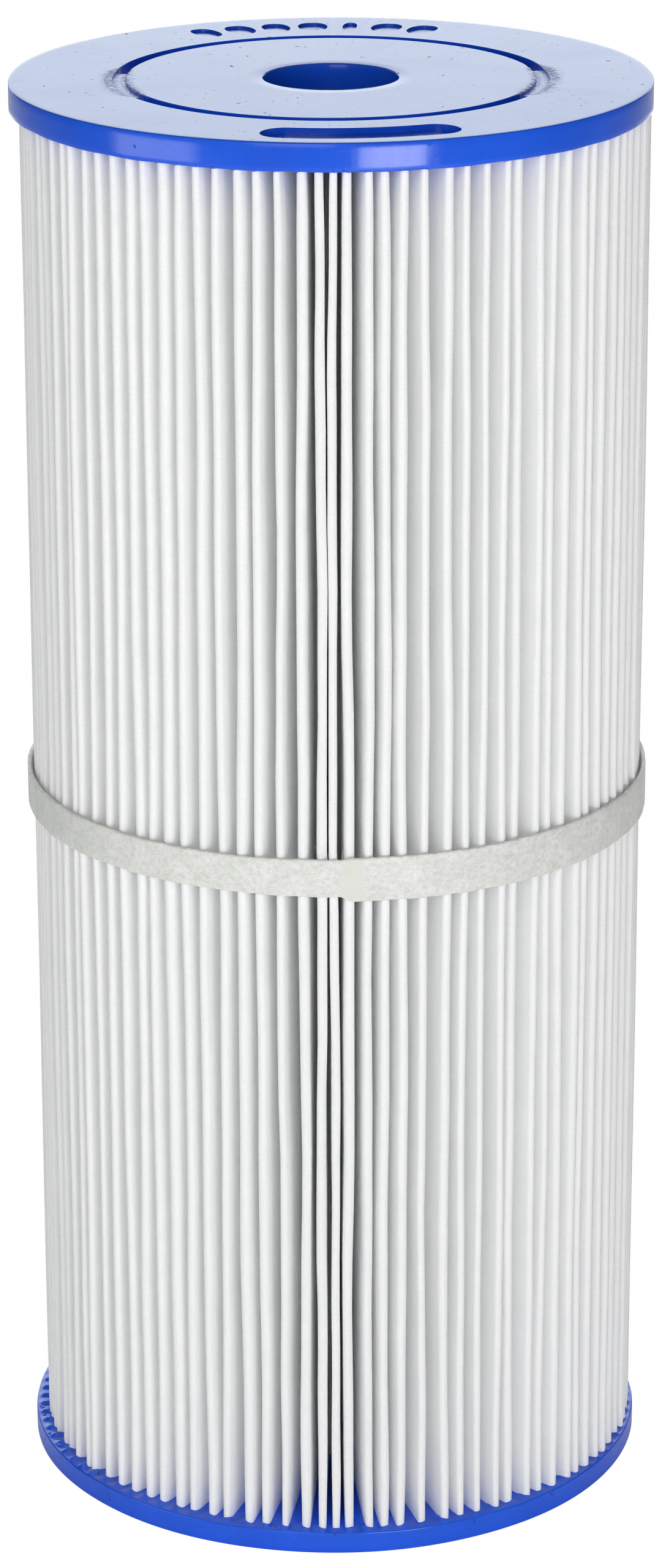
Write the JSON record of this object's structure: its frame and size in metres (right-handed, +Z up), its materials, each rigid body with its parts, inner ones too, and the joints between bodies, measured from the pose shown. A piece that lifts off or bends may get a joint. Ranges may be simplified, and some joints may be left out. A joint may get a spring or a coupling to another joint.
{
  "type": "pool filter cartridge",
  "caption": "Pleated cloth filter cylinder round a moulded grid core, with a cast plastic cap at each end, a hole through both caps and a cloth band round the middle.",
  "frame": {"origin": "on the cartridge's axis, at the foot of its bottom cap, where it stands", "axes": "+Z up along the axis from the bottom cap to the top cap, -Y towards the front, where the recess in the top cap and the band's lap are"},
  "size_m": [0.1452, 0.1455, 0.33],
  "materials": {
    "top_cap_plastic": "glossy cast blue polyurethane, lightly scratched",
    "bottom_cap_plastic": "glossy cast blue polyurethane",
    "media_cloth": "spunbond polyester, fine random fibres, slight sheen",
    "band_cloth": "thicker spunbond polyester strap, its ends fused together",
    "seam_resin": "set resin, slightly translucent",
    "core_plastic": "moulded plastic, satin"
  },
  "bodies": {
    "cartridge": {"top_end_cap": "top_cap_plastic", "bottom_end_cap": "bottom_cap_plastic", "pleated_media": "media_cloth", "media_seam": "seam_resin", "core_lower_section": "core_plastic", "core_middle_section": "core_plastic", "core_upper_section": "core_plastic"},
    "band": {"centre_band": "band_cloth"}
  },
  "joints": [
    {"name": "band_slide", "type": "slide", "parent": "cartridge", "child": "band", "axis": [0, 0, 1], "range_m": [-0.04, 0.04]}
  ]
}
